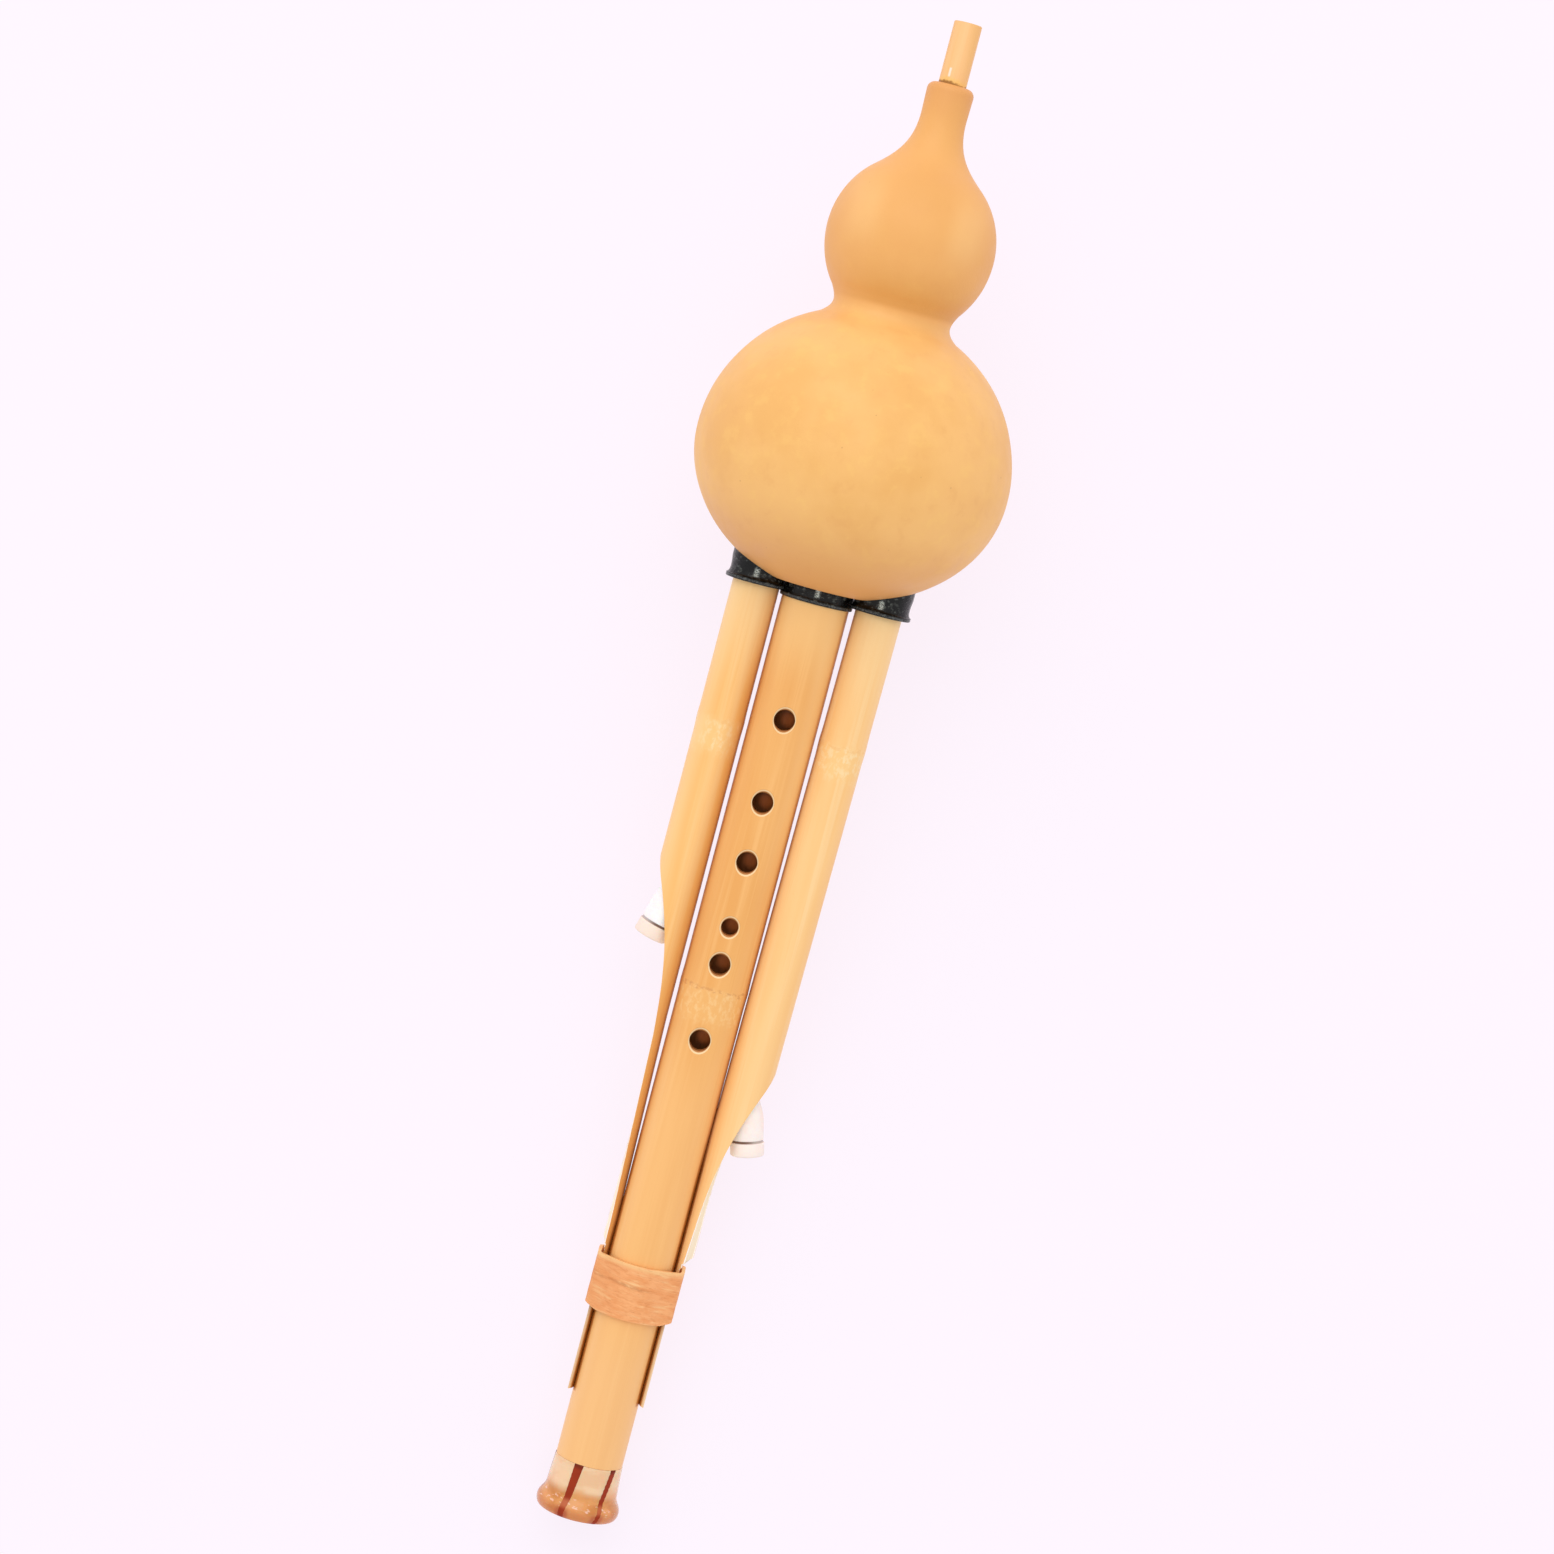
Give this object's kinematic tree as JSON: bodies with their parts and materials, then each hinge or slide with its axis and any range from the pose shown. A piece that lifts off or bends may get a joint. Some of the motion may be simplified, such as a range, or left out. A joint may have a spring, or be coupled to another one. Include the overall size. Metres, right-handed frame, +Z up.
{
  "type": "hulusi",
  "caption": "Free-reed wind instrument: a waisted gourd wind chest with a mouthpiece, a fingered bamboo main pipe, and scooped drone pipes closed by pull-out stoppers.",
  "frame": {"origin": "on the surface that the part lies on, under the middle of its overall box", "axes": "+X along the instrument towards the mouthpiece, +Z up, which is the side with the finger holes; the left drone pipe is on the +Y side. It lies on its back on the bell's lip and the lower bulb, so its main axis rises 6.1 degrees towards +X."},
  "size_m": [0.448, 0.0924, 0.0921],
  "materials": {
    "gourd": "polished dried gourd with a thin clear varnish",
    "bamboo": "varnished bamboo, fine lengthwise fibres",
    "pale_bamboo": "pale varnished bamboo, fine lengthwise fibres, raw where it is cut",
    "black_horn": "polished black horn or resin",
    "amber_resin": "cast cream to amber resin, polished",
    "dark_inlay": "dark red inlay strip, polished flush",
    "rattan": "split rattan strip, satin",
    "silicone": "white silicone, soft sheen",
    "reed_brass": "rolled brass sheet",
    "beeswax": "poured beeswax and rosin"
  },
  "bodies": {
    "instrument": {"gourd_shell": "gourd", "mouthpiece_tube": "pale_bamboo", "main_pipe": "bamboo", "left_drone_pipe": "pale_bamboo", "right_drone_pipe": "pale_bamboo", "left_collar": "black_horn", "middle_collar": "black_horn", "right_collar": "black_horn", "bell_ring": "amber_resin", "bell_inlay_1": "dark_inlay", "bell_inlay_2": "dark_inlay", "bell_inlay_3": "dark_inlay", "bell_inlay_4": "dark_inlay", "bell_inlay_5": "dark_inlay", "bell_inlay_6": "dark_inlay", "rattan_binding": "rattan", "wax_seal": "beeswax", "main_reed_plate": "reed_brass", "left_reed_plate": "reed_brass", "right_reed_plate": "reed_brass", "main_reed_wax": "beeswax", "left_reed_wax": "beeswax", "right_reed_wax": "beeswax"},
    "left_stopper": {"left_stopper": "silicone"},
    "right_stopper": {"right_stopper": "silicone"}
  },
  "joints": [
    {"name": "left_stopper_pull", "type": "slide", "parent": "instrument", "child": "left_stopper", "axis": [-0.9627, 0.2504, -0.1022], "range_m": [0, 0.026]},
    {"name": "right_stopper_pull", "type": "slide", "parent": "instrument", "child": "right_stopper", "axis": [-0.9627, -0.2504, -0.1022], "range_m": [0, 0.026]}
  ]
}
